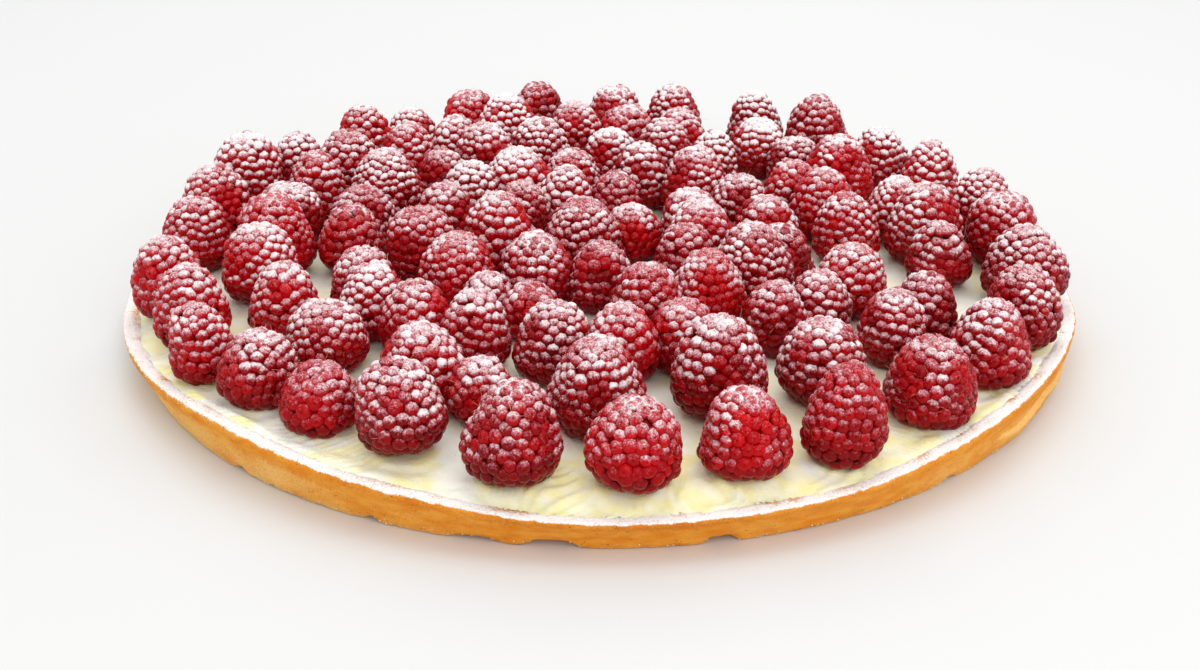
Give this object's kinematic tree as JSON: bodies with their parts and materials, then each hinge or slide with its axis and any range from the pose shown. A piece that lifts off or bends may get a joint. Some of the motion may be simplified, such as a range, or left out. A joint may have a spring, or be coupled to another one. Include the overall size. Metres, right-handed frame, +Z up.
{
  "type": "raspberry tart",
  "caption": "Round shallow tart: a baked shortcrust case with a low flared wall, a level layer of pale cream, and rings of raspberries standing on it, dusted with icing sugar",
  "frame": {"origin": "centre of the flat underside of the crust, on the surface the tart stands on", "axes": "+Z up, the tart's thickness; +X and +Y across the tart; the side seen at the front faces -Y"},
  "size_m": [0.262, 0.262, 0.0366],
  "materials": {
    "baked_pastry": "baked shortcrust, sandy and matt, golden tan, browner under the rim, dusted with sugar on top",
    "cream": "pale ivory cream spread with a spatula, soft satin",
    "raspberry": "ripe raspberry, juicy drupelets with icing sugar on their upper sides",
    "icing_sugar": "fine icing sugar, matt white",
    "crumb": "loose crumbs of the crust, matt",
    "hair": "fine dry hairs of the raspberries"
  },
  "bodies": {
    "root": {"cream": "cream", "crust": "baked_pastry", "raspberries_fifth_01": "raspberry", "raspberries_fifth_02": "raspberry", "raspberries_fifth_03": "raspberry", "raspberries_fourth_01": "raspberry", "raspberries_fourth_02": "raspberry", "raspberries_fourth_03": "raspberry", "raspberries_fourth_04": "raspberry", "raspberries_middle_01": "raspberry", "raspberries_second_03": "raspberry", "raspberries_second_07": "raspberry", "raspberries_second_08": "raspberry", "raspberries_second_09": "raspberry", "raspberries_second_10": "raspberry", "raspberries_second_11": "raspberry", "raspberries_second_12": "raspberry", "raspberries_second_13": "raspberry", "raspberries_third_01": "raspberry", "raspberries_third_02": "raspberry", "raspberries_third_03": "raspberry", "raspberries_third_04": "raspberry", "raspberries_third_05": "raspberry", "raspberries_third_06": "raspberry", "raspberries_third_07": "raspberry", "raspberry_outer_01": "raspberry", "raspberry_outer_02": "raspberry", "raspberry_outer_03": "raspberry", "raspberry_outer_04": "raspberry", "raspberry_outer_05": "raspberry", "raspberry_outer_06": "raspberry", "raspberry_outer_07": "raspberry", "raspberry_outer_08": "raspberry", "raspberry_outer_09": "raspberry", "raspberry_outer_10": "raspberry", "raspberry_outer_11": "raspberry", "raspberry_outer_12": "raspberry", "raspberry_outer_13": "raspberry", "raspberry_outer_14": "raspberry", "raspberry_outer_15": "raspberry", "raspberry_outer_16": "raspberry", "raspberry_outer_17": "raspberry", "raspberry_outer_18": "raspberry", "raspberry_outer_19": "raspberry", "raspberry_outer_20": "raspberry", "raspberry_outer_21": "raspberry", "raspberry_outer_22": "raspberry", "raspberry_outer_23": "raspberry", "raspberry_outer_24": "raspberry", "raspberry_outer_25": "raspberry", "raspberry_outer_26": "raspberry", "raspberry_outer_27": "raspberry", "raspberry_outer_28": "raspberry", "raspberry_outer_29": "raspberry", "raspberry_outer_30": "raspberry", "raspberry_second_01": "raspberry", "raspberry_second_02": "raspberry", "raspberry_second_04": "raspberry", "raspberry_second_05": "raspberry", "raspberry_second_06": "raspberry"}
  },
  "joints": []
}
